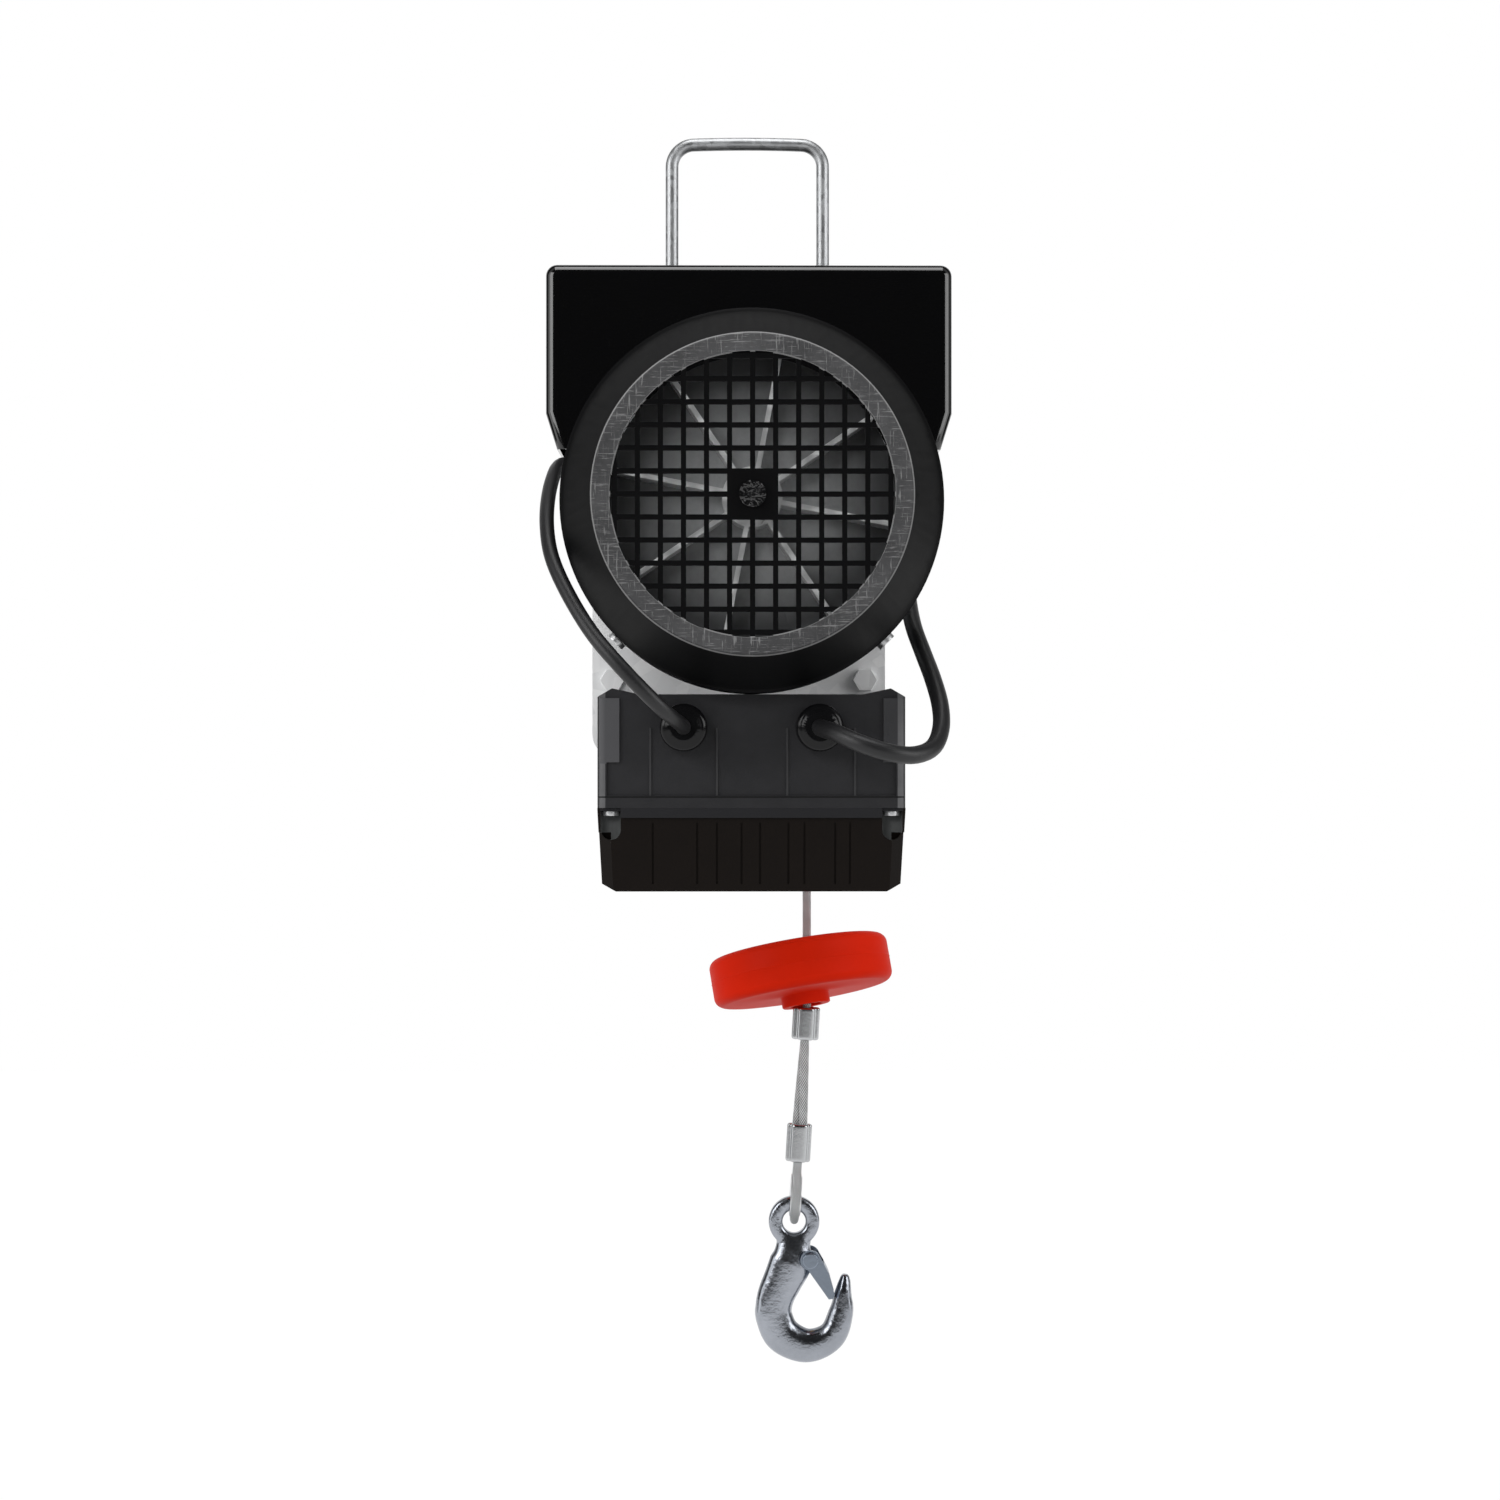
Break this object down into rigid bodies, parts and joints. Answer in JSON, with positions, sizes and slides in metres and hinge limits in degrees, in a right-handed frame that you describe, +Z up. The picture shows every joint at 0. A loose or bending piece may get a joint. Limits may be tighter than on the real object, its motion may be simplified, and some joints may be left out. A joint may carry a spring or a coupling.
{
  "type": "mini electric wire-rope hoist",
  "caption": "Electric wire-rope hoist with a fan-cooled motor, geared rope drum, pole U-bolt, control box, stop disc and a forged hook with a spring latch.",
  "frame": {"origin": "on the hood's top face, midway between the U-bolt's legs, where the pole sits", "axes": "+Z up, -Y along the motor axis towards the fan, +X to the right seen from the fan end"},
  "size_m": [0.18, 0.4161, 0.5769],
  "materials": {
    "black_enamel": "gloss black enamel on pressed steel",
    "zinc_sheet": "galvanised sheet, mottled",
    "zinc_bar": "zinc-plated bar and fasteners",
    "cast_aluminium": "cast aluminium, satin",
    "steel": "machined steel",
    "laminations": "varnished laminations",
    "copper": "enamelled copper wire",
    "fan_cover_black": "matte black moulding",
    "fan_grey": "light grey moulding",
    "box_grey": "dark grey moulding, fine texture",
    "lid_black": "brownish black moulding",
    "gland_black": "glossy black nylon",
    "capacitor": "white can",
    "switch_red": "red moulding",
    "lead_black": "matte black rubber sheath",
    "strap": "woven hook-and-loop tape",
    "gear_steel": "hardened gear steel",
    "drum_paint": "grey primer",
    "rope_steel": "galvanised wire rope",
    "ferrule": "pressed aluminium",
    "disc_red": "red-orange moulding",
    "hook_zinc": "forged, zinc plated, bluish",
    "handset_yellow": "yellow moulding",
    "button_black": "black moulding",
    "button_red": "red moulding"
  },
  "bodies": {
    "frame": {"hood": "black_enamel", "bridge_plate": "zinc_sheet", "pole_u_bolt": "zinc_bar", "u_bolt_nuts": "zinc_bar", "motor_side_plate": "zinc_sheet", "gear_side_plate": "zinc_sheet", "tie_rods": "zinc_bar", "plate_bolts": "zinc_bar", "drum_bearings": "steel", "motor_housing": "cast_aluminium", "motor_front_shield": "cast_aluminium", "motor_fan_shield": "cast_aluminium", "stator_core": "laminations", "stator_windings": "copper", "motor_bearings": "steel", "fan_cover": "fan_cover_black", "fan_cover_screws": "zinc_bar", "gearbox_housing": "cast_aluminium", "gearbox_cover": "cast_aluminium", "gearbox_screws": "zinc_bar", "control_box": "box_grey", "box_lid": "lid_black", "lid_screws": "zinc_bar", "run_capacitor": "capacitor", "mains_gland": "gland_black", "pendant_gland": "gland_black", "limit_bracket": "zinc_sheet", "limit_switch": "switch_red", "lever_pin": "zinc_bar", "lever_spring": "zinc_bar", "cable_clips": "lead_black", "cable_strap": "strap", "mains_cord": "lead_black", "mains_plug": "lead_black", "pendant_cord": "lead_black", "pendant_coil": "lead_black", "handset_front": "handset_yellow", "handset_back": "handset_yellow"},
    "motor": {"motor_shaft": "steel", "rotor_core": "laminations", "cooling_fan": "fan_grey"},
    "idler": {"intermediate_shaft": "gear_steel", "intermediate_gear": "gear_steel"},
    "drum": {"rope_drum": "drum_paint", "rope_winding": "rope_steel", "output_gear": "gear_steel"},
    "lever": {"limit_lever": "zinc_sheet"},
    "plunger": {"limit_plunger": "capacitor"},
    "rope_end": {"hoist_rope": "rope_steel", "rope_loop": "rope_steel", "upper_ferrule": "ferrule", "lower_ferrule": "ferrule", "thimble": "zinc_bar"},
    "disc": {"stop_disc": "disc_red"},
    "hook": {"hook": "hook_zinc", "latch_rivet": "hook_zinc", "latch_spring": "zinc_bar"},
    "latch": {"hook_latch": "hook_zinc"},
    "rocker": {"handset_rocker": "button_black"},
    "stop_button": {"handset_stop": "button_red"}
  },
  "joints": [
    {"name": "motor_spin", "type": "hinge", "parent": "frame", "child": "motor", "pos_m": [0, 0, -0.115], "axis": [0, 1, 0], "range_deg": [-753.06, 82836.73]},
    {"name": "idler_spin", "type": "hinge", "parent": "frame", "child": "idler", "pos_m": [-0.02546, 0.098, -0.08954], "axis": [0, 1, 0], "range_deg": [-14143.5, 129]},
    {"name": "drum_spin", "type": "hinge", "parent": "frame", "child": "drum", "pos_m": [0, 0, -0.115], "axis": [0, 1, 0], "range_deg": [-36.1, 3960.1]},
    {"name": "hook_travel", "type": "slide", "parent": "frame", "child": "rope_end", "axis": [0, 0, -1], "range_m": [-0.0177, 1.9354]},
    {"name": "lever_lift", "type": "hinge", "parent": "frame", "child": "lever", "pos_m": [0.028, -0.063, -0.264], "axis": [1, 0, 0], "range_deg": [0, 8], "stiffness_Nm_per_rad": 0.02, "springref_deg": -11.46},
    {"name": "plunger_press", "type": "slide", "parent": "frame", "child": "plunger", "axis": [0, 0, 1], "range_m": [0, 0.00196]},
    {"name": "disc_tip", "type": "hinge", "parent": "rope_end", "child": "disc", "pos_m": [0.028, 0, -0.336], "axis": [0, 1, 0], "range_deg": [0, 19]},
    {"name": "hook_swing", "type": "hinge", "parent": "rope_end", "child": "hook", "pos_m": [0.02204, 0, -0.43635], "axis": [0, 1, 0], "range_deg": [-20, 20]},
    {"name": "latch_open", "type": "hinge", "parent": "hook", "child": "latch", "pos_m": [0.0295, 0, -0.4544], "axis": [0, 1, 0], "range_deg": [0, 35], "stiffness_Nm_per_rad": 0.01, "springref_deg": -22.92},
    {"name": "rocker_tilt", "type": "hinge", "parent": "frame", "child": "rocker", "pos_m": [0.004, 0.1574, -0.215], "axis": [1, 0, 0], "range_deg": [-6, 6], "stiffness_Nm_per_rad": 0.05},
    {"name": "stop_press", "type": "slide", "parent": "frame", "child": "stop_button", "axis": [0, -1, 0], "range_m": [0, 0.004], "stiffness_N_per_m": 250}
  ],
  "couplings": [
    {"joint": "idler_spin", "follows": "motor_spin", "ratio": -0.17073},
    {"joint": "drum_spin", "follows": "motor_spin", "ratio": 0.047805},
    {"joint": "hook_travel", "follows": "motor_spin", "m_per_rad": 0.0013385},
    {"joint": "plunger_press", "follows": "lever_lift", "m_per_rad": 0.014}
  ]
}
